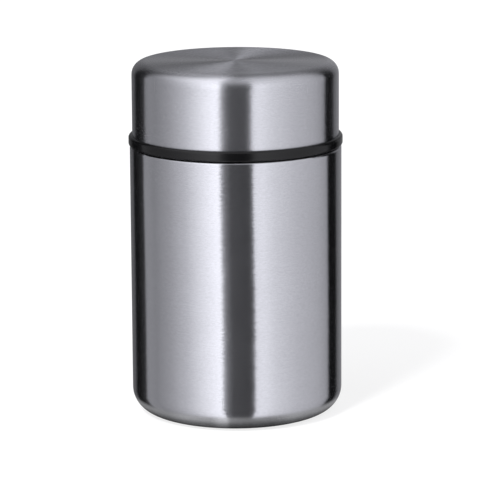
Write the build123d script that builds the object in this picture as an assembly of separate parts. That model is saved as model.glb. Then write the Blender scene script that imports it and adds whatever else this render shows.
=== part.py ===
from build123d import *
import os

# Insulated food jar, millimetres, +Z up. The origin is the centre of the foot ring, on the table.
# A double-walled stainless vessel, closed by a screw stopper with a pressure release valve, under a
# screw-on cup cap. Screw threads are left plain here: each threaded wall keeps the room for its ridges.

# Outer shell and base
body_radius = 45.0          # outside of the body's wall
body_height = 115.2         # table to the top of the shoulder
sheet = 0.5                 # wall of every drawn stainless piece
shoulder_round = 1.0        # outside edge of the shoulder
base_joint_height = 18.0    # weld between shell and base
base_corner = 10.0          # outside radius of the base's corner
foot_width = 2.5            # flat ring that stands on the table
recess_height = 2.2         # underside of the base's middle, above the table
recess_slope = 1.2          # width of the rise from the foot to the recess
drawn_bend = 1.0            # small bends of the drawn sheet
dimple_radius = 5.0         # dimple round the evacuation hole
dimple_depth = 1.4
evacuation_radius = 1.2
cover_disc_thickness = 0.3
cover_disc_margin = 0.6     # between the cover disc and the side of its recess

# Neck and inner vessel
neck_rise = 16.3            # shoulder to lip
neck_blend = 0.8            # inside corner between shoulder and neck
neck_vacuum = 1.0           # between the neck's two walls
wall_vacuum = 3.5           # between the body's wall and the food vessel
vessel_corner = 12.0        # inside corner of the food vessel's floor
floor_vacuum = 3.5          # between the base and the food vessel
seat_depth = 7.7            # shoulder down to the gasket's ledge
seat_width = 3.2            # neck to throat
throat_height = 5.0         # straight wall of the throat
throat_slope_height = 5.5   # rise from the vessel's wall to the throat
throat_bend = 3.0
lip_round = 1.2

# Vacuum pieces
foil_thickness = 0.15
foil_margin = 4.0           # foil ends this far from the vessel's curves
getter_radius = 4.5
getter_height = 1.4
getter_inset = 9.0          # from the side of the base's recess to the pellet's centre
clip_wall = 0.3
clip_flange = 1.5
bead_radius = 2.8
bead_height = 1.0

# Cap
cap_inset = 1.1             # body's wall to the cap's wall
cap_height = 31.3           # flange to the cap's top
cap_corner = 5.6            # outside radius of the cap's edge
flange_overhang = 0.5       # the black ring stands out from the body's wall
flange_height = 4.2
flange_gap = 0.5            # shoulder to the flange
flange_round = 1.2          # upper edge of the flange
flange_edge_round = 0.7     # its lower edge
shell_tuck = 1.4            # shell's edge in the ring's groove
ring_wall = 1.9
cap_thread_room = 2.2       # neck sleeve to the ring's wall
ring_height = 17.3          # underside of the flange to the ring's upper edge
liner_wall = 1.4
liner_corner = 4.0
liner_room = 1.1            # between the liner and the stopper's flange
cap_foam = 1.7
cap_seal_width = 1.3
cap_seal_groove = 1.2       # depth in the flange
cap_seal_inset = 0.5        # from the shoulder's round edge

# Stopper
mould_wall = 2.0            # walls of the stopper's mouldings
plug_depth = 9.0            # gasket's ledge to the bottom of the plug
plug_room = 0.8             # throat to plug
plug_round = 1.5
gasket_height = 2.8
gasket_grip = 1.6           # depth of the gasket's groove
stopper_thread_room = 1.8   # neck to the stopper's wall
stopper_flange_overlap = 0.8    # how far the flange stops short of the neck's outside
stopper_flange_height = 1.4
flange_lift = 0.3           # lip to flange
spigot_depth = 3.5          # cover's spigot in the body
spigot_wall = 1.6
grip_round = 2.5
grip_inset = 0.8            # flange's edge to the grip
lobe_count = 16
lobe_cut_radius = 4.0
lobe_cut_depth = 1.5
head_room = 5.0             # grip to the roof of the cap's liner

# Valve
button_radius = 10.7
button_height = 4.5
button_drop = 0.3           # below the grip's top
button_dish = 0.9           # hollow for the fingertip
button_travel = 2.5
stem_radius = 2.0
boss_wall = 1.2
boss_height = 2.0
guide_wall = 2.0
valve_seal_radius = 6.0
valve_seal_thickness = 1.6
stem_foot_radius = 5.0
stem_foot_thickness = 1.2
spring_length = 9.0
spring_wire = 0.7
spring_turns = 6

# Clearances
fit = 0.1                   # pieces assembled for good
seat = 0.1                  # faces that close on each other
running = 0.3               # pieces that turn or slide

# Heights that several pieces share
lip_z = body_height + neck_rise
base_top_z = recess_height + sheet
floor_z = base_top_z + floor_vacuum + sheet
seat_z = body_height - seat_depth
flange_z = body_height + flange_gap
flange_top_z = flange_z + flange_height
cap_top_z = flange_top_z + cap_height
ring_top_z = flange_z + ring_height
roof_top_z = cap_top_z - sheet - cap_foam
roof_z = roof_top_z - liner_wall
plug_z = seat_z - plug_depth
gasket_z = seat_z + seat
groove_top_z = gasket_z + gasket_height + seat
stopper_flange_z = lip_z + flange_lift
stopper_rim_z = stopper_flange_z + stopper_flange_height
grip_z = roof_z - head_room
button_top_z = grip_z - button_drop
button_z = button_top_z - button_height
well_floor_z = button_z - button_travel - running
button_roof_z = button_top_z - button_dish - boss_wall
guide_top_z = button_roof_z - spring_length

# Radii that several pieces share
foot_radius = body_radius - base_corner
recess_radius = foot_radius - foot_width - recess_slope
getter_offset = recess_radius - getter_inset
vessel_radius = body_radius - 2 * sheet - wall_vacuum
flange_radius = body_radius + flange_overhang
cap_radius = body_radius - cap_inset
ring_outer_radius = cap_radius - sheet - fit
ring_radius = ring_outer_radius - ring_wall
neck_radius = ring_radius - cap_thread_room
mouth_radius = neck_radius - 2 * sheet - neck_vacuum
throat_radius = mouth_radius - seat_width
stopper_flange_radius = neck_radius - stopper_flange_overlap
liner_radius = stopper_flange_radius + liner_room
cap_seal_radius = body_radius - shoulder_round - cap_seal_inset
plug_radius = throat_radius - plug_room
groove_radius = plug_radius - gasket_grip
plug_bore = groove_radius - mould_wall
stopper_radius = mouth_radius - stopper_thread_room
stopper_bore = stopper_radius - mould_wall
grip_radius = stopper_flange_radius - grip_inset
well_radius = button_radius + running
guide_bore = stem_radius + running
guide_radius = guide_bore + guide_wall
boss_radius = stem_radius + fit + boss_wall
spring_radius = boss_radius + running + spring_wire / 2


def turn(outline):
    """Turn a closed outline, drawn as radius and height, about the jar's axis."""
    return revolve(Plane.XZ * make_face(outline), Axis.Z)


def drawn(points, bends, side):
    """A drawn sheet piece: its show face as a line with bends, the sheet's thickness on one side."""
    face_line = FilletPolyline(*points, radius=bends)
    return turn(offset(face_line, sheet, side=side))


def moulded(corners):
    """A turned solid from corners, each a radius, a height and the rounding of that corner."""
    points = [(radius, height) for radius, height, rounding in corners]
    roundings = [rounding for radius, height, rounding in corners]
    return turn(FilletPolyline(*points, radius=roundings, close=True))


def tube(inner, outer, low, high):
    """A plain ring about the jar's axis."""
    return moulded([(inner, low, 0), (outer, low, 0), (outer, high, 0), (inner, high, 0)])


def outer_shell():
    """Body wall, rounded shoulder and neck sleeve, drawn as one sheet."""
    points = [
        (body_radius, base_joint_height),
        (body_radius, body_height),
        (neck_radius, body_height),
        (neck_radius, lip_z - sheet),
    ]
    return drawn(points, [shoulder_round, neck_blend], Side.LEFT)


def outer_base():
    """Base dish: skirt, large corner, foot ring, recess and the dimple round the evacuation hole."""
    dimple_foot = dimple_radius + dimple_depth
    points = [
        (body_radius, base_joint_height),
        (body_radius, 0),
        (foot_radius - foot_width, 0),
        (recess_radius, recess_height),
        (dimple_foot, recess_height),
        (dimple_radius, recess_height + dimple_depth),
        (evacuation_radius, recess_height + dimple_depth),
    ]
    bends = [base_corner, drawn_bend, drawn_bend, drawn_bend, drawn_bend]
    return drawn(points, bends, Side.RIGHT)


def base_cover():
    """Thin disc bonded over the dimple, clear of the table."""
    radius = recess_radius - cover_disc_margin
    low = recess_height - cover_disc_thickness
    return Pos(0, 0, low) * extrude(Circle(radius), cover_disc_thickness)


def vacuum_seal():
    """Solder bead in the dimple, with its neck in the evacuation hole."""
    dimple_z = recess_height + dimple_depth
    neck = evacuation_radius - fit
    return moulded([
        (0, dimple_z - bead_height, 0),
        (bead_radius, dimple_z - bead_height, bead_height / 2),
        (bead_radius, dimple_z, 0),
        (neck, dimple_z, 0),
        (neck, dimple_z + sheet, 0),
        (0, dimple_z + sheet, 0),
    ])


def inner_vessel():
    """Food vessel: floor, wall, drawn-in throat, gasket ledge, neck and the lip over the sleeve."""
    throat_z = seat_z - throat_height
    points = [
        (0, floor_z),
        (vessel_radius, floor_z),
        (vessel_radius, throat_z - throat_slope_height),
        (throat_radius, throat_z),
        (throat_radius, seat_z),
        (mouth_radius, seat_z),
        (mouth_radius, lip_z),
        (neck_radius, lip_z),
    ]
    bends = [vessel_corner, throat_bend, throat_bend, drawn_bend, neck_blend, lip_round]
    return drawn(points, bends, Side.RIGHT)


def radiation_foil():
    """Copper foil wrapped on the straight wall of the food vessel."""
    inner = vessel_radius + sheet
    low = floor_z + vessel_corner + foil_margin
    high = seat_z - throat_height - throat_slope_height - throat_bend - foil_margin
    return tube(inner, inner + foil_thickness, low, high)


def getter():
    """Pellet that lies in its clip on the base, beside the dimple."""
    place = Pos(getter_offset, 0, base_top_z + clip_wall)
    return place * extrude(Circle(getter_radius), getter_height)


def getter_clip():
    """Little drawn cup with a flange, welded to the base."""
    bore = getter_radius + fit
    cup = bore + clip_wall
    clip = moulded([
        (0, base_top_z, 0),
        (cup + clip_flange, base_top_z, 0),
        (cup + clip_flange, base_top_z + clip_wall, 0),
        (cup, base_top_z + clip_wall, 0),
        (cup, base_top_z + clip_wall + getter_height, 0),
        (bore, base_top_z + clip_wall + getter_height, 0),
        (bore, base_top_z + clip_wall, 0),
        (0, base_top_z + clip_wall, 0),
    ])
    return Pos(getter_offset, 0, 0) * clip


def cap_shell():
    """Stainless cup of the cap, its edge tucked into the ring's groove."""
    points = [
        (cap_radius, flange_top_z - shell_tuck),
        (cap_radius, cap_top_z),
        (0, cap_top_z),
    ]
    return drawn(points, [cap_corner], Side.LEFT)


def cap_ring():
    """Threaded ring: flange, groove for the shell's edge, groove for the soft ring, spigot."""
    groove = cap_seal_radius - cap_seal_width - running
    tuck_z = flange_top_z - shell_tuck - fit
    return moulded([
        (ring_radius, flange_z, 0),
        (groove, flange_z, 0),
        (groove, flange_z + cap_seal_groove, 0),
        (cap_seal_radius + running, flange_z + cap_seal_groove, 0),
        (cap_seal_radius + running, flange_z, 0),
        (flange_radius, flange_z, flange_edge_round),
        (flange_radius, flange_top_z, flange_round),
        (cap_radius + fit, flange_top_z, 0),
        (cap_radius + fit, tuck_z, 0),
        (ring_outer_radius, tuck_z, 0),
        (ring_outer_radius, ring_top_z, 0),
        (ring_radius, ring_top_z, 0),
    ])


def cap_liner():
    """Inner cup of the cap: a foot flange on the ring, a wall and a roof."""
    wall = liner_radius + liner_wall
    return moulded([
        (liner_radius, ring_top_z, 0),
        (ring_outer_radius, ring_top_z, 0),
        (ring_outer_radius, ring_top_z + liner_wall, 0),
        (wall, ring_top_z + liner_wall, 0),
        (wall, roof_top_z, liner_corner),
        (0, roof_top_z, 0),
        (0, roof_z, 0),
        (liner_radius, roof_z, liner_corner - liner_wall),
    ])


def cap_insulation():
    """Foam that fills the space between the cap's shell and its liner."""
    inner = liner_radius + liner_wall + fit
    low = ring_top_z + liner_wall
    return moulded([
        (inner, low, 0),
        (ring_outer_radius, low, 0),
        (ring_outer_radius, cap_top_z - sheet - fit, cap_corner - sheet),
        (0, cap_top_z - sheet - fit, 0),
        (0, roof_top_z, 0),
        (inner, roof_top_z, liner_corner + fit),
    ])


def cap_seal():
    """Soft ring in the flange's groove, which closes on the shoulder."""
    low = body_height + seat
    high = flange_z + cap_seal_groove - seat
    return tube(cap_seal_radius - cap_seal_width, cap_seal_radius, low, high)


def stopper_body():
    """Plug with gasket groove, threaded wall, flange over the lip and the valve's guide tube."""
    step_z = groove_top_z + mould_wall
    return moulded([
        (guide_bore, plug_z, 0),
        (plug_radius, plug_z, plug_round),
        (plug_radius, seat_z, 0),
        (groove_radius, seat_z, 0),
        (groove_radius, groove_top_z, 0),
        (stopper_radius, groove_top_z, drawn_bend),
        (stopper_radius, stopper_flange_z, 0),
        (stopper_flange_radius, stopper_flange_z, stopper_flange_height / 3),
        (stopper_flange_radius, stopper_rim_z, stopper_flange_height / 3),
        (stopper_bore, stopper_rim_z, 0),
        (stopper_bore, step_z, 0),
        (plug_bore, step_z, 0),
        (plug_bore, plug_z + mould_wall, drawn_bend),
        (guide_radius, plug_z + mould_wall, 0),
        (guide_radius, guide_top_z, 0),
        (guide_bore, guide_top_z, 0),
    ])


def stopper_insulation():
    """Foam round the guide tube, below the cover's spigot."""
    step_z = groove_top_z + mould_wall
    high = stopper_rim_z - spigot_depth - fit
    return moulded([
        (guide_radius + fit, plug_z + mould_wall, 0),
        (plug_bore - fit, plug_z + mould_wall, drawn_bend + fit),
        (plug_bore - fit, step_z + fit, 0),
        (stopper_bore - fit, step_z + fit, 0),
        (stopper_bore - fit, high, 0),
        (guide_radius + fit, high, 0),
    ])


def stopper_cover():
    """Grip with scalloped side, spigot into the body and the well that guides the button."""
    spigot = stopper_bore - fit
    grip_bore = spigot - spigot_wall
    well = well_radius + spigot_wall
    spring_way = spring_radius + spring_wire / 2 + running
    cover = moulded([
        (grip_bore, stopper_rim_z - spigot_depth, 0),
        (spigot, stopper_rim_z - spigot_depth, 0),
        (spigot, stopper_rim_z, 0),
        (grip_radius, stopper_rim_z, 0),
        (grip_radius, grip_z, grip_round),
        (well_radius, grip_z, button_drop),
        (well_radius, well_floor_z, 0),
        (spring_way, well_floor_z, 0),
        (spring_way, well_floor_z - spigot_wall, 0),
        (well, well_floor_z - spigot_wall, 0),
        (well, grip_z - mould_wall, 0),
        (grip_bore, grip_z - mould_wall, mould_wall),
    ])
    cut = extrude(Circle(lobe_cut_radius), grip_z - stopper_rim_z)
    centre_radius = grip_radius + lobe_cut_radius - lobe_cut_depth
    places = Pos(0, 0, stopper_rim_z) * PolarLocations(centre_radius, lobe_count)
    return cover - [place * cut for place in places]


def stopper_gasket():
    """Soft ring in the plug's groove, seated on the ledge, its outer edge clear of the neck's thread."""
    inner = groove_radius + running
    outer = mouth_radius - seat_width / 3
    return moulded([
        (inner, gasket_z, 0),
        (outer, gasket_z, gasket_height / 4),
        (outer, gasket_z + gasket_height, gasket_height / 4),
        (inner, gasket_z + gasket_height, 0),
    ])


def valve_button():
    """Push button: dished top, skirt in the well and a boss on the stem."""
    skirt = button_radius - boss_wall
    boss_z = button_roof_z - boss_height
    button = moulded([
        (stem_radius + fit, boss_z, 0),
        (boss_radius, boss_z, 0),
        (boss_radius, button_roof_z, 0),
        (skirt, button_roof_z, 0),
        (skirt, button_z, 0),
        (button_radius, button_z, 0),
        (button_radius, button_top_z, button_drop),
        (0, button_top_z, 0),
        (0, button_roof_z, 0),
        (stem_radius + fit, button_roof_z, 0),
    ])
    dish_radius = (skirt ** 2 + button_dish ** 2) / (2 * button_dish)
    return button - Pos(0, 0, button_top_z - button_dish + dish_radius) * Sphere(dish_radius)


def valve_stem():
    """Stem with the foot that carries the valve's seal."""
    foot_z = plug_z - seat - valve_seal_thickness - stem_foot_thickness
    return moulded([
        (0, foot_z, 0),
        (stem_foot_radius, foot_z, stem_foot_thickness / 3),
        (stem_foot_radius, foot_z + stem_foot_thickness, 0),
        (stem_radius, foot_z + stem_foot_thickness, 0),
        (stem_radius, button_roof_z, 0),
        (0, button_roof_z, 0),
    ])


def valve_seal():
    """Soft disc on the stem's foot, which closes the vent from below."""
    high = plug_z - seat
    return tube(stem_radius + fit, valve_seal_radius, high - valve_seal_thickness, high)


def valve_spring():
    """Compression spring round the stem, from the guide tube to the button."""
    rise = spring_length - spring_wire
    pitch = rise / spring_turns
    path = Pos(0, 0, guide_top_z + spring_wire / 2) * Helix(pitch, rise, spring_radius)
    section = Plane(origin=path @ 0, z_dir=path % 0) * Circle(spring_wire / 2)
    return sweep(section, path)


PIECES = [
    outer_shell,
    outer_base,
    base_cover,
    vacuum_seal,
    inner_vessel,
    radiation_foil,
    getter,
    getter_clip,
    cap_shell,
    cap_ring,
    cap_liner,
    cap_insulation,
    cap_seal,
    stopper_body,
    stopper_insulation,
    stopper_cover,
    stopper_gasket,
    valve_button,
    valve_stem,
    valve_seal,
    valve_spring,
]

os.makedirs("parts", exist_ok=True)
for piece in PIECES:
    export_step(piece(), f"parts/{piece.__name__}.step")
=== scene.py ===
import math

import bmesh
import bpy
from mathutils import Matrix, Vector


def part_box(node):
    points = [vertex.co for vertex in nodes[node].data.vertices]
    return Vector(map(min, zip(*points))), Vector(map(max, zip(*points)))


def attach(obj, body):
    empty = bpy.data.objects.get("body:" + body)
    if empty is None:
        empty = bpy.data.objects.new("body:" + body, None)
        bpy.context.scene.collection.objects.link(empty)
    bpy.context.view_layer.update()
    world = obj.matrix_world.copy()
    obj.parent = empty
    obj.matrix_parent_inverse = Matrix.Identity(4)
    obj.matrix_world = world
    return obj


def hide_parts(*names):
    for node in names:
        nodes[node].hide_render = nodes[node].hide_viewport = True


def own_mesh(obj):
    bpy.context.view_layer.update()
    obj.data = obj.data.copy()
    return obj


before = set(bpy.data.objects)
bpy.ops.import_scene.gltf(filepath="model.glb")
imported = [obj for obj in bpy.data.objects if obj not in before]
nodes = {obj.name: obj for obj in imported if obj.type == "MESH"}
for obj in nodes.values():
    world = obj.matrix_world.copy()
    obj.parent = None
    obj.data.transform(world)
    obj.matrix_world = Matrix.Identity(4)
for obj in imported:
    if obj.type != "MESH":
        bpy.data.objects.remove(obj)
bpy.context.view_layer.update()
mm = 0.001

# Camera: a long lens a little over a metre from the jar, looking slightly down on it.
# The jar stands a touch left of the middle of the frame.
camera_distance = 1300 * mm
camera_height = 345.8 * mm
camera_aside = 1.6 * mm
camera_pitch = math.radians(11.83)
camera_roll = math.radians(-0.368)
camera_lens = 232.9     # Blender's own millimetres, on its 36 mm sensor
camera_sees_to = 20.0

camera = bpy.data.objects.new("camera", bpy.data.cameras.new("camera"))
camera.data.lens = camera_lens
camera.data.clip_end = camera_sees_to
bpy.context.scene.collection.objects.link(camera)
camera.matrix_world = (
    Matrix.Translation((camera_aside, -camera_distance, camera_height))
    @ Matrix.Rotation(math.radians(90) - camera_pitch, 4, "X")
    @ Matrix.Rotation(camera_roll, 4, "Z")
)
bpy.context.scene.camera = camera
bpy.context.scene.view_settings.view_transform = "Standard"


# Studio: long soft boxes and black flags round the jar and a second ring of them overhead, over a
# white floor. The metal sees them as grey levels by bearing, and the camera sees plain white.
def add(tree, kind, inputs=(), **settings):
    """Adds a node, sets its properties and its inputs; a socket given as a value is linked."""
    node = tree.nodes.new(kind)
    for name, value in settings.items():
        setattr(node, name, value)
    for socket, value in dict(inputs).items():
        if isinstance(value, bpy.types.NodeSocket):
            tree.links.new(value, node.inputs[socket])
        else:
            node.inputs[socket].default_value = value
    return node


def sums(tree, operation, *values):
    """The result of one Math node."""
    return add(tree, "ShaderNodeMath", enumerate(values), operation=operation).outputs[0]


def ramp(tree, factor, stops):
    """A grey ramp from (position, grey) pairs."""
    node = add(tree, "ShaderNodeValToRGB", {"Fac": factor})
    elements = node.color_ramp.elements
    while len(elements) < len(stops):
        elements.new(0.5)
    for element, (position, grey) in zip(elements, stops):
        element.position = position
        element.color = (grey, grey, grey, 1)
    return node.outputs["Color"]


# Grey level of the studio by bearing in degrees: 0 is behind the camera, 90 the jar's right side.
studio_ring = [
    (-180, 0.235),
    (-173, 0.17),
    (-160, 0.13),
    (-150, 0.10),
    (-146, 0.002),
    (-134, 0.008),
    (-121, 0.045),
    (-118.7, 0.37),
    (-110, 0.35),
    (-100, 0.32),
    (-86, 0.405),
    (-78, 0.46),
    (-58, 0.70),
    (-40, 1.07),
    (-24, 1.38),
    (-17.8, 1.46),
    (-15.8, 0.50),
    (-12, 0.21),
    (-6, 0.09),
    (13, 0.065),
    (17.5, 0.15),
    (19.2, 1.10),
    (29, 1.12),
    (43, 0.92),
    (68, 0.71),
    (100, 0.56),
    (117, 0.42),
    (119.2, 0.005),
    (138, 0.005),
    (144, 0.16),
    (174, 0.33),
    (180, 0.235),
]
# The same overhead, where the soft boxes close in over the jar and the flags end.
studio_top = [
    (-180, 0.14),
    (-174, 0.30),
    (-168, 0.76),
    (-162, 0.76),
    (-156, 0.12),
    (-130, 0.06),
    (-108, 0.80),
    (-80, 1.10),
    (-54, 1.45),
    (-26, 1.52),
    (-15, 0.58),
    (0, 0.54),
    (15, 0.64),
    (26, 0.80),
    (60, 0.84),
    (90, 0.76),
    (108, 0.66),
    (122, 0.32),
    (150, 0.05),
    (180, 0.14),
]
top_from, top_full = math.sin(math.radians(20)), math.sin(math.radians(55))
# The upper half of the soft boxes is brighter: how much brighter by bearing, and where it sets in.
box_lift = [
    (-180, 0.0),
    (-90, 0.0),
    (-66, 0.12),
    (-44, 0.20),
    (-32, 0.27),
    (-14, 0.25),
    (-4, 0.10),
    (14, 0.10),
    (22, 0.16),
    (50, 0.10),
    (90, 0.04),
    (180, 0.0),
]
lift_from, lift_full = math.sin(math.radians(-15)), math.sin(math.radians(5))
ring_peak = 1.52
daylight = (1.0, 1.0, 1.045)    # the lamps are a little cool


def round_the_jar(tree, parts, stops, peak=1.0):
    """A grey level by bearing from the jar's axis."""
    bearing = sums(tree, "ARCTAN2", parts[0], sums(tree, "MULTIPLY", parts[1], -1.0))
    place = sums(tree, "ADD", sums(tree, "DIVIDE", bearing, 2 * math.pi), 0.5)
    return ramp(tree, place, [(angle / 360 + 0.5, grey / peak) for angle, grey in stops])


world = bpy.data.worlds.new("studio")
bpy.context.scene.world = world
world.use_nodes = True
tree = world.node_tree
tree.nodes.clear()
toward = add(tree, "ShaderNodeTexCoord").outputs["Generated"]
rays = add(tree, "ShaderNodeLightPath").outputs
parts = add(tree, "ShaderNodeSeparateXYZ", {0: toward}).outputs
low = round_the_jar(tree, parts, studio_ring, ring_peak)
high = round_the_jar(tree, parts, studio_top, ring_peak)
height = add(tree, "ShaderNodeMapRange", {
    "Value": parts[2], 1: top_from, 2: top_full}, interpolation_type="SMOOTHSTEP").outputs[0]
light = add(tree, "ShaderNodeMix", {"Factor": height, "A": low, "B": high}, data_type="RGBA")
light = light.outputs["Result"]
lift = add(tree, "ShaderNodeMapRange", {
    "Value": parts[2], 1: lift_from, 2: lift_full}, interpolation_type="SMOOTHSTEP").outputs[0]
lift = sums(tree, "MULTIPLY", lift, sums(tree, "SUBTRACT", 1.0, height))
lift = add(tree, "ShaderNodeVectorMath", {
    0: round_the_jar(tree, parts, box_lift), "Scale": lift}, operation="SCALE").outputs[0]
lift = add(tree, "ShaderNodeVectorMath", {0: lift, 1: (1, 1, 1)}, operation="ADD").outputs[0]
light = add(tree, "ShaderNodeVectorMath", {0: light, 1: lift}, operation="MULTIPLY").outputs[0]
light = add(tree, "ShaderNodeVectorMath", {0: light, 1: daylight}, operation="MULTIPLY").outputs[0]
around = add(tree, "ShaderNodeBackground", {"Color": light, "Strength": ring_peak})
white = add(tree, "ShaderNodeBackground", {"Color": (1, 1, 1, 1), "Strength": 1.0})
shown = add(tree, "ShaderNodeMixShader", {
    0: rays["Is Camera Ray"], 1: around.outputs[0], 2: white.outputs[0]})
add(tree, "ShaderNodeOutputWorld", {"Surface": shown.outputs[0]})

floor_size = 6.0
floor_white = 0.69          # share of the floor's white that no shadow takes away
floor_glow = 1.145          # strength of that share
floor_paint = 0.9           # grey of the rest, which takes the shadow
# The metal sees the studio through the floor, except round the foot: there it sees the floor as a glowing
# patch, with a painted shadow under the jar's edge and a painted pool of light where the jar would throw the
# left soft box on it.
# Painted shadow round the foot: the grey of the glowing patch by distance from the jar's axis.
painted_foot_shadow = [
    (34 * mm, 0.02),
    (39 * mm, 0.14),
    (42 * mm, 0.40),
    (45 * mm, 0.90),
    (47 * mm, 1.0),
    (53 * mm, 1.0),
]
# Painted pool of light round the foot, by bearing: the left soft box as the jar would throw it on the floor.
painted_foot_light = [
    (-180, 0.20),
    (-100, 0.28),
    (-60, 0.36),
    (-47, 0.38),
    (-34, 0.54),
    (-16, 0.52),
    (-11, 0.80),
    (-7, 0.80),
    (-4, 0.36),
    (6, 0.28),
    (22, 0.30),
    (36, 0.48),
    (50, 0.42),
    (120, 0.30),
    (180, 0.20),
]
mesh = bpy.data.meshes.new("floor")
shape = bmesh.new()
bmesh.ops.create_grid(shape, x_segments=1, y_segments=1, size=floor_size / 2)
shape.to_mesh(mesh)
floor = bpy.data.objects.new("floor", mesh)
bpy.context.scene.collection.objects.link(floor)
paint = bpy.data.materials.new("floor")
paint.use_nodes = True
mesh.materials.append(paint)
tree = paint.node_tree
tree.nodes.clear()
spot = add(tree, "ShaderNodeTexCoord").outputs["Object"]
rays = add(tree, "ShaderNodeLightPath").outputs
matt = add(tree, "ShaderNodeBsdfDiffuse", {"Color": (floor_paint, floor_paint, floor_paint, 1)})
white = add(tree, "ShaderNodeEmission", {"Color": (1, 1, 1, 1), "Strength": floor_glow})
seen = add(tree, "ShaderNodeMixShader", {0: floor_white, 1: matt.outputs[0], 2: white.outputs[0]})
parts = add(tree, "ShaderNodeSeparateXYZ", {0: spot}).outputs
reach = add(tree, "ShaderNodeVectorMath", {0: spot}, operation="LENGTH").outputs["Value"]
rim = painted_foot_shadow[-1][0]
# The painted shadow times the painted pool of light, glowing for the metal round the foot.
shade = ramp(tree, sums(tree, "DIVIDE", reach, rim), [(radius / rim, grey) for radius, grey in painted_foot_shadow])
shade = add(tree, "ShaderNodeVectorMath", {
    0: shade, 1: round_the_jar(tree, parts, painted_foot_light)}, operation="MULTIPLY").outputs[0]
painted_foot_patch = add(tree, "ShaderNodeEmission", {"Color": shade, "Strength": 1.0})
open_floor = add(tree, "ShaderNodeMapRange", {
    "Value": reach, 1: painted_foot_shadow[-2][0], 2: rim}, interpolation_type="SMOOTHSTEP").outputs[0]
studio = add(tree, "ShaderNodeBsdfTransparent")
mirror = add(tree, "ShaderNodeMixShader", {0: open_floor, 1: painted_foot_patch.outputs[0], 2: studio.outputs[0]})
mirrored = add(tree, "ShaderNodeMixShader", {
    0: rays["Is Glossy Ray"], 1: matt.outputs[0], 2: mirror.outputs[0]})
shown = add(tree, "ShaderNodeMixShader", {
    0: rays["Is Camera Ray"], 1: mirrored.outputs[0], 2: seen.outputs[0]})
add(tree, "ShaderNodeOutputMaterial", {"Surface": shown.outputs[0]})

key_bearing = math.radians(-29.5)   # to the left of the camera
key_height = math.radians(48)
key_width = math.radians(9)         # a wider lamp has softer shadows
key_strength = 2.0
key = bpy.data.objects.new("key", bpy.data.lights.new("key", "SUN"))
key.data.angle = key_width
key.data.energy = key_strength
bpy.context.scene.collection.objects.link(key)
key_from = Vector((
    math.sin(key_bearing) * math.cos(key_height),
    -math.cos(key_bearing) * math.cos(key_height),
    math.sin(key_height),
))
key.rotation_euler = key_from.to_track_quat("Z", "Y").to_euler()
key.visible_glossy = False


# Food vessel: 18/8 stainless sheet, deep-drawn and turned inside to a satin finish, with the lip
# polished where it is rolled over the neck sleeve. The stopper's thread is rolled into its neck.
def new_material(name):
    """An empty node material with a Principled shader and its output."""
    material = bpy.data.materials.new(name)
    material.use_nodes = True
    tree = material.node_tree
    tree.nodes.clear()
    shader = add(tree, "ShaderNodeBsdfPrincipled")
    add(tree, "ShaderNodeOutputMaterial", {"Surface": shader.outputs[0]})
    return material, tree, shader


def spread(tree, value, low, high, edges=(0.3, 0.7), **settings):
    """A value between two edges, brought to the range from low to high."""
    node = add(tree, "ShaderNodeMapRange", {
        "Value": value, 1: edges[0], 2: edges[1], 3: low, 4: high}, **settings)
    return node.outputs[0]


def tinted(tree, colour, shade):
    """A colour times a shade."""
    return add(tree, "ShaderNodeVectorMath", {0: colour, "Scale": shade}, operation="SCALE").outputs[0]


def noise(tree, place, size, detail=2.0):
    """Noise with grains of one size."""
    node = add(tree, "ShaderNodeTexNoise", {"Vector": place, "Scale": 1 / size, "Detail": detail})
    return node.outputs["Fac"]


def lathe_course(tree, spot):
    """One length that runs up a turned wall and in across its top, for marks left by a lathe."""
    parts = add(tree, "ShaderNodeSeparateXYZ", {0: spot}).outputs
    flat = add(tree, "ShaderNodeVectorMath", {0: spot, 1: (1, 1, 0)}, operation="MULTIPLY").outputs[0]
    radius = add(tree, "ShaderNodeVectorMath", {0: flat}, operation="LENGTH").outputs["Value"]
    return parts, sums(tree, "SUBTRACT", parts[2], radius)


def grain(tree, parts, course, length, width, detail):
    """Noise drawn out round the jar: grains of one length, and one width up the wall."""
    place = add(tree, "ShaderNodeCombineXYZ", {
        0: sums(tree, "DIVIDE", parts[0], length),
        1: sums(tree, "DIVIDE", parts[1], length),
        2: sums(tree, "DIVIDE", course, width),
    }).outputs[0]
    return noise(tree, place, 1.0, detail)


scratch_edges = (0.78, 0.82)    # how much of the noise shows as a scratch


def hairlines(tree, spot, turned, length, width, share):
    """Thin straight scratches from handling, all in about one direction."""
    place = add(tree, "ShaderNodeMapping", {
        "Vector": spot, "Rotation": [math.radians(angle) for angle in turned],
        "Scale": (1 / length, 1 / width, 1 / length)}).outputs[0]
    edges = [edge - share for edge in scratch_edges]
    return spread(tree, noise(tree, place, 1.0, 1.0), 0.0, 1.0, edges=edges)


# Marks of the lathe: their length round the jar, their width up the wall and their detail.
fine_marks = (3 * mm, 0.09 * mm, 3.0)
coarse_marks = (16 * mm, 0.45 * mm, 2.0)
fine_share = 0.65
streak_marks = (1.3 * mm, 0.4 * mm, 1.0)
sway_marks = (2.4 * mm, 0.4 * mm, 2.0)
scatter_marks = (1.6 * mm, 0.5 * mm, 2.0)
mark_depth = 0.02 * mm
mottle_size = 22 * mm
mottle_shade = 0.02
rough_swing = 0.02
# Scratches: the turn of their direction, their length, their width and how many more show.
scratches_one_way = ((12, 25, 50), 9 * mm, 0.10 * mm, 0.02)
scratches_other_way = ((-20, 40, -35), 14 * mm, 0.08 * mm, 0.0)
scratch_depth = 0.3
polish_blend = 0.6 * mm
polish_left = 0.25              # share of the marks that polishing leaves
across_the_grain = 0.25         # of a turn: the highlight runs across the marks


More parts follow.
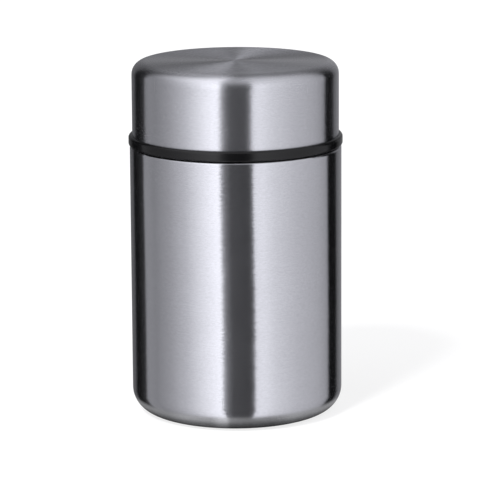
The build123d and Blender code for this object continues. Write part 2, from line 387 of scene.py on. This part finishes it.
def turned_steel(name, colour, roughness, aniso, depth, tone=0.03, wear=0.05, scatter=0.015, sway=0.007,
                 polished_from=None, crown=None, twist=None):
    """Stainless steel brushed or turned round the jar's axis.

    crown is (from, to, rise): it is rougher by the rise over those heights.
    twist is (from, to, lean): it faces aside by the lean under those heights.
    """
    material, tree, shader = new_material(name)
    spot = add(tree, "ShaderNodeTexCoord").outputs["Object"]
    parts, course = lathe_course(tree, spot)
    fine = grain(tree, parts, course, *fine_marks)
    coarse = grain(tree, parts, course, *coarse_marks)
    marks = sums(tree, "ADD", sums(tree, "MULTIPLY", fine, fine_share),
                 sums(tree, "MULTIPLY", coarse, 1 - fine_share))
    mottle = noise(tree, spot, mottle_size)
    one_way = hairlines(tree, spot, *scratches_one_way)
    other_way = hairlines(tree, spot, *scratches_other_way)
    scratches = sums(tree, "MAXIMUM", one_way, other_way)
    streaks = grain(tree, parts, course, *streak_marks)
    shade = sums(tree, "MULTIPLY", spread(tree, marks, 1 - tone, 1 + tone),
                 spread(tree, mottle, 1 - mottle_shade, 1 + mottle_shade))
    shade = sums(tree, "MULTIPLY", shade, spread(tree, streaks, 1 - tone, 1 + tone))
    tint = tinted(tree, colour, shade)
    rough = sums(tree, "ADD", spread(tree, marks, roughness - rough_swing, roughness + rough_swing),
                 spread(tree, mottle, -rough_swing, rough_swing))
    rough = sums(tree, "ADD", rough, sums(tree, "MULTIPLY", scratches, wear))
    if crown is not None:
        start, end, rise = crown
        rough = sums(tree, "ADD", rough, spread(tree, parts[2], 0.0, rise, edges=(start, end),
                                                interpolation_type="SMOOTHSTEP"))
    height = sums(tree, "SUBTRACT", marks, sums(tree, "MULTIPLY", scratches, scratch_depth))
    if polished_from is not None:
        polish = spread(tree, parts[2], 1.0, polish_left, edges=(polished_from, polished_from + polish_blend))
        rough = sums(tree, "MULTIPLY", rough, polish)
        height = sums(tree, "MULTIPLY", height, polish)
    around = add(tree, "ShaderNodeCombineXYZ", {
        0: sums(tree, "MULTIPLY", parts[1], -1.0), 1: parts[0]}).outputs[0]
    around = add(tree, "ShaderNodeVectorTransform", {0: around},
                 vector_type="VECTOR", convert_from="OBJECT", convert_to="WORLD").outputs[0]
    around = add(tree, "ShaderNodeVectorMath", {0: around}, operation="NORMALIZE").outputs[0]
    bump = add(tree, "ShaderNodeBump", {"Height": height, "Strength": depth, "Distance": mark_depth})
    waver = spread(tree, grain(tree, parts, course, *sway_marks), -sway, sway)
    if twist is not None:
        start, end, lean = twist
        waver = sums(tree, "SUBTRACT", waver, spread(tree, parts[2], lean, 0.0, edges=(start, end),
                                                     interpolation_type="SMOOTHSTEP"))
    waver = add(tree, "ShaderNodeVectorMath", {0: around, "Scale": waver}, operation="SCALE").outputs[0]
    facing = add(tree, "ShaderNodeVectorMath", {0: bump.outputs[0], 1: waver}, operation="ADD").outputs[0]
    facing = add(tree, "ShaderNodeVectorMath", {0: facing}, operation="NORMALIZE").outputs[0]
    metal = spread(tree, grain(tree, parts, course, *scatter_marks), 1.0, 1 - scatter)
    tree.links.new(tint, shader.inputs["Base Color"])
    tree.links.new(rough, shader.inputs["Roughness"])
    tree.links.new(facing, shader.inputs["Normal"])
    tree.links.new(around, shader.inputs["Tangent"])
    tree.links.new(metal, shader.inputs["Metallic"])
    shader.inputs["Anisotropic"].default_value = aniso
    shader.inputs["Anisotropic Rotation"].default_value = across_the_grain
    return material


def finish_with(material, *names):
    """Gives CAD nodes their material."""
    for name in names:
        slots = nodes[name].data.materials
        slots.clear()
        slots.append(material)


thread_pitch = 4 * mm
thread_steps = 90               # to each turn


def screw_thread(name, outline, wall, start, turns, run_out, material, body):
    """A right-handed ridge on a wall, run out at both ends.

    Its outline has each point's height over the wall and its place up it.
    """
    shape = bmesh.new()
    corners = [shape.verts.new((wall + height, 0, start + place)) for height, place in outline]
    edges = [shape.edges.new(pair) for pair in zip(corners, corners[1:] + corners[:1])]
    steps = round(turns * thread_steps)
    bmesh.ops.spin(shape, geom=corners + edges, axis=(0, 0, 1), dvec=(0, 0, thread_pitch * turns / steps),
                   angle=math.tau * turns, steps=steps)
    bmesh.ops.holes_fill(shape, edges=[edge for edge in shape.edges if edge.is_boundary])
    foot = wall + outline[0][0]
    for corner in shape.verts:
        angle = math.atan2(corner.co.y, corner.co.x) / math.tau
        turn = angle + round((corner.co.z - start) / thread_pitch - angle)
        left = max(0.0, min(1.0, min(turn, turns - turn) / run_out))
        radius = math.hypot(corner.co.x, corner.co.y)
        kept = (foot + (radius - foot) * left * left * (3 - 2 * left)) / radius
        corner.co.x *= kept
        corner.co.y *= kept
    bmesh.ops.recalc_face_normals(shape, faces=shape.faces)
    for face in shape.faces:
        face.smooth = len(face.verts) == 4
    mesh = bpy.data.meshes.new(name)
    shape.to_mesh(mesh)
    mesh.materials.append(material)
    ridge = bpy.data.objects.new(name, mesh)
    bpy.context.scene.collection.objects.link(ridge)
    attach(ridge, body)


lip_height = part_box("inner_vessel")[1][2]
lip_polish = 1.2 * mm           # down from the lip
food_steel = turned_steel("food_steel", (0.63, 0.63, 0.65), 0.30, 0.7, 0.25,
                          polished_from=lip_height - lip_polish)
finish_with(food_steel, "inner_vessel")
mouth_radius = 37.2 * mm
bead_run_out = 0.15             # of a turn
bead_turns = 2.2
rolled_bead = [
    (0.3 * mm, -1.5 * mm),
    (0, -1.5 * mm),
    (-0.15 * mm, -1.1 * mm),
    (-0.5 * mm, -0.65 * mm),
    (-0.75 * mm, -0.3 * mm),
    (-0.8 * mm, 0),
    (-0.75 * mm, 0.3 * mm),
    (-0.5 * mm, 0.65 * mm),
    (-0.15 * mm, 1.1 * mm),
    (0, 1.5 * mm),
    (0.3 * mm, 1.5 * mm),
]
screw_thread("mouth_thread", rolled_bead, mouth_radius, 117.5 * mm, bead_turns, bead_run_out,
             food_steel, "vessel")


# Vacuum pieces, between the walls: copper foil wrapped on the food vessel, a sintered getter pellet
# in its little drawn clip, and the bead of solder glass that closes the evacuation hole.
def plain_finish(name, colour, roughness, grains, metallic=0.0, uneven=0.06, shades=0.06, depth=0.3):
    """A finish from two sizes of noise: the small one is the surface, the large one its unevenness.

    grains has the two sizes and how high the small one stands.
    """
    material, tree, shader = new_material(name)
    spot = add(tree, "ShaderNodeTexCoord").outputs["Object"]
    small, large, relief = grains
    surface = noise(tree, spot, small, 3.0)
    cloud = noise(tree, spot, large, 3.0)
    tint = tinted(tree, colour, spread(tree, cloud, 1 - shades, 1 + shades))
    tree.links.new(tint, shader.inputs["Base Color"])
    tree.links.new(spread(tree, cloud, roughness - uneven, roughness + uneven), shader.inputs["Roughness"])
    bump = add(tree, "ShaderNodeBump", {"Height": surface, "Strength": depth, "Distance": relief})
    tree.links.new(bump.outputs[0], shader.inputs["Normal"])
    shader.inputs["Metallic"].default_value = metallic
    return material, shader


copper_foil, shader = plain_finish(
    "copper_foil", (0.78, 0.42, 0.28), 0.28, (5 * mm, 30 * mm, 0.6 * mm), metallic=1.0, depth=0.6)
finish_with(copper_foil, "radiation_foil")
getter_metal, shader = plain_finish(
    "getter_metal", (0.25, 0.25, 0.26), 0.75, (0.25 * mm, 2 * mm, 0.1 * mm), metallic=0.4, shades=0.2)
finish_with(getter_metal, "getter")
solder_glass, shader = plain_finish(
    "solder_glass", (0.35, 0.36, 0.38), 0.12, (0.8 * mm, 3 * mm, 0.05 * mm), shades=0.25)
shader.inputs["IOR"].default_value = 1.65
finish_with(solder_glass, "vacuum_seal")
clip_steel, shader = plain_finish(
    "clip_steel", (0.58, 0.58, 0.60), 0.30, (0.3 * mm, 4 * mm, 0.02 * mm), metallic=1.0)
finish_with(clip_steel, "getter_clip")


# Outer wall and base: stainless sheet, drawn to shape, welded and then brushed on a lathe, so that
# every scratch runs round the jar. The cap's thread is rolled out of the neck sleeve.
brushed_wall = turned_steel("brushed_wall", (0.61, 0.613, 0.645), 0.155, 1.0, 0.35,
                            twist=(42 * mm, 116 * mm, 0.0145))
finish_with(brushed_wall, "outer_shell", "outer_base")
neck_radius = 39.2 * mm
cap_bead_height = 1.5           # times the mouth's bead, and outward
cap_bead = [(-height * cap_bead_height, place) for height, place in rolled_bead]
screw_thread("neck_thread", cap_bead, neck_radius, 119.5 * mm, bead_turns, bead_run_out,
             brushed_wall, "vessel")


# Cover disc: thin stainless sheet, turned bright and bonded into the recess under the jar, where it
# hides the sealed evacuation hole.
disc_steel = turned_steel("disc_steel", (0.60, 0.60, 0.62), 0.26, 0.85, 0.3, tone=0.04, wear=0.12)
finish_with(disc_steel, "base_cover")


# Cap shell: the wall's steel, drawn as a shallow cup and brushed on a lathe, top and all. It grips
# the black ring under it.
brushed_cap = turned_steel("brushed_cap", (0.61, 0.613, 0.645), 0.245, 1.0, 0.35,
                           crown=(148.5 * mm, 151 * mm, 0.025), twist=(140 * mm, 148 * mm, -0.007))
finish_with(brushed_cap, "cap_shell")


# Black mouldings of the cap: the threaded ring that grips the shell's edge, and the liner welded on
# it, both polypropylene from a finely sparked mould, with the cap's own thread inside the ring.
spark_size = 0.22 * mm
spark_strength = 0.3
flow_size = 14 * mm
flow_shade = 0.1
flow_smoother, flow_rougher = 0.03, 0.04
scuffs = ((30, -20, 15), 6 * mm, 0.12 * mm, 0.03)
scuff_rougher = 0.08


def moulded_plastic(name, colour, roughness, relief, gloss=0.5):
    """Plastic with the fine sparked texture of its mould and light scuffs."""
    material, tree, shader = new_material(name)
    spot = add(tree, "ShaderNodeTexCoord").outputs["Object"]
    sparks = noise(tree, spot, spark_size)
    flow = noise(tree, spot, flow_size, 3.0)
    marks = hairlines(tree, spot, *scuffs)
    tint = tinted(tree, colour, spread(tree, flow, 1 - flow_shade, 1 + flow_shade))
    tree.links.new(tint, shader.inputs["Base Color"])
    rough = sums(tree, "ADD", spread(tree, flow, roughness - flow_smoother, roughness + flow_rougher),
                 sums(tree, "MULTIPLY", marks, scuff_rougher))
    tree.links.new(rough, shader.inputs["Roughness"])
    bump = add(tree, "ShaderNodeBump", {"Height": sparks, "Strength": spark_strength, "Distance": relief})
    tree.links.new(bump.outputs[0], shader.inputs["Normal"])
    shader.inputs["Specular IOR Level"].default_value = gloss
    return material


cap_black = moulded_plastic("cap_black", (0.003, 0.003, 0.0033), 0.17, 0.003 * mm, 0.4)
finish_with(cap_black, "cap_ring")
liner_black = moulded_plastic("liner_black", (0.010, 0.010, 0.011), 0.38, 0.012 * mm)
finish_with(liner_black, "cap_liner")
ring_radius = 41.4 * mm
ridge_run_out = 0.08            # of a turn
ridge_turns = 1.7
cap_ridge = [
    (0.3 * mm, -0.9 * mm),
    (0, -0.9 * mm),
    (-1.15 * mm, -0.45 * mm),
    (-1.3 * mm, -0.25 * mm),
    (-1.3 * mm, 0.25 * mm),
    (-1.15 * mm, 0.45 * mm),
    (0, 0.9 * mm),
    (0.3 * mm, 0.9 * mm),
]
screw_thread("cap_thread", cap_ridge, ring_radius, 121.5 * mm, ridge_turns, ridge_run_out,
             cap_black, "cap")


# Foam: rigid polyurethane, foamed in place between the cap's shell and its liner, and inside the
# stopper.
foam, shader = plain_finish(
    "foam", (0.90, 0.88, 0.80), 0.85, (0.5 * mm, 10 * mm, 0.3 * mm), shades=0.1, depth=0.7)
finish_with(foam, "cap_insulation", "stopper_insulation")


# Cap's soft ring: black silicone, pressed into the groove under the flange, where it shows as the
# dark gap over the shoulder.
black_silicone, shader = plain_finish(
    "black_silicone", (0.018, 0.018, 0.018), 0.55, (0.15 * mm, 6 * mm, 0.01 * mm), shades=0.15)
finish_with(black_silicone, "cap_seal")


# Stopper: a plug and a scalloped grip in black polypropylene, welded together round the foam, with
# a coarse thread for the neck.
stopper_black = moulded_plastic("stopper_black", (0.016, 0.016, 0.0175), 0.36, 0.012 * mm)
finish_with(stopper_black, "stopper_body", "stopper_cover")
stopper_radius = 35.4 * mm
stopper_ridge_height = 1.15     # times the cap's ridge, and outward
stopper_ridge = [(-height * stopper_ridge_height, place) for height, place in cap_ridge]
screw_thread("stopper_thread", stopper_ridge, stopper_radius, 119.5 * mm, ridge_turns, ridge_run_out,
             stopper_black, "stopper")


# Soft seals of the stopper: translucent silicone, a ring snapped into the plug's groove and a disc
# on the valve's foot.
clear_silicone, shader = plain_finish(
    "clear_silicone", (0.80, 0.80, 0.78), 0.42, (0.2 * mm, 8 * mm, 0.01 * mm), shades=0.03)
shader.inputs["Subsurface Weight"].default_value = 0.4
shader.inputs["Subsurface Radius"].default_value = (2 * mm, 2 * mm, 2 * mm)
shader.inputs["Subsurface Scale"].default_value = 1.0
finish_with(clear_silicone, "stopper_gasket", "valve_seal")


# Valve: a dished push button and its stem, moulded in grey acetal and snapped together through the
# stopper's cover.
grey_acetal = moulded_plastic("grey_acetal", (0.30, 0.31, 0.32), 0.40, 0.008 * mm)
finish_with(grey_acetal, "valve_button", "valve_stem")


# Valve spring: drawn stainless wire, wound right-handed on a mandrel. It stands on the guide tube, and in the
# jar it gives way by the button's travel when the button is pressed; the coil here is built at its length at
# rest.
spring_wire, shader = plain_finish(
    "spring_wire", (0.55, 0.55, 0.55), 0.24, (0.12 * mm, 1.5 * mm, 0.01 * mm), metallic=1.0)
finish_with(spring_wire, "valve_spring")
wire_radius = 0.35 * mm
wire_sides = 12
spring_turns = 6
coil_steps = 40                 # to each turn
spring_foot, spring_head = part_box("valve_spring")
spring_length = spring_head[2] - spring_foot[2]
shape = bmesh.new()
wire = bmesh.ops.create_circle(shape, segments=wire_sides, radius=wire_radius, matrix=(
    Matrix.Translation((spring_head[0] - wire_radius, 0, spring_foot[2] + wire_radius))
    @ Matrix.Rotation(math.radians(90), 4, "X")))["verts"]
steps = spring_turns * coil_steps
bmesh.ops.spin(shape, geom=wire + shape.edges[:], axis=(0, 0, 1), angle=math.tau * spring_turns, steps=steps,
               dvec=(0, 0, (spring_length - 2 * wire_radius) / steps))
bmesh.ops.holes_fill(shape, edges=[edge for edge in shape.edges if edge.is_boundary])
bmesh.ops.recalc_face_normals(shape, faces=shape.faces)
for face in shape.faces:
    face.smooth = len(face.verts) == 4
mesh = bpy.data.meshes.new("valve_spring_coil")
shape.to_mesh(mesh)
mesh.materials.append(spring_wire)
coil = bpy.data.objects.new("valve_spring_coil", mesh)
bpy.context.scene.collection.objects.link(coil)
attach(coil, "stopper")
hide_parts("valve_spring")
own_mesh(coil)
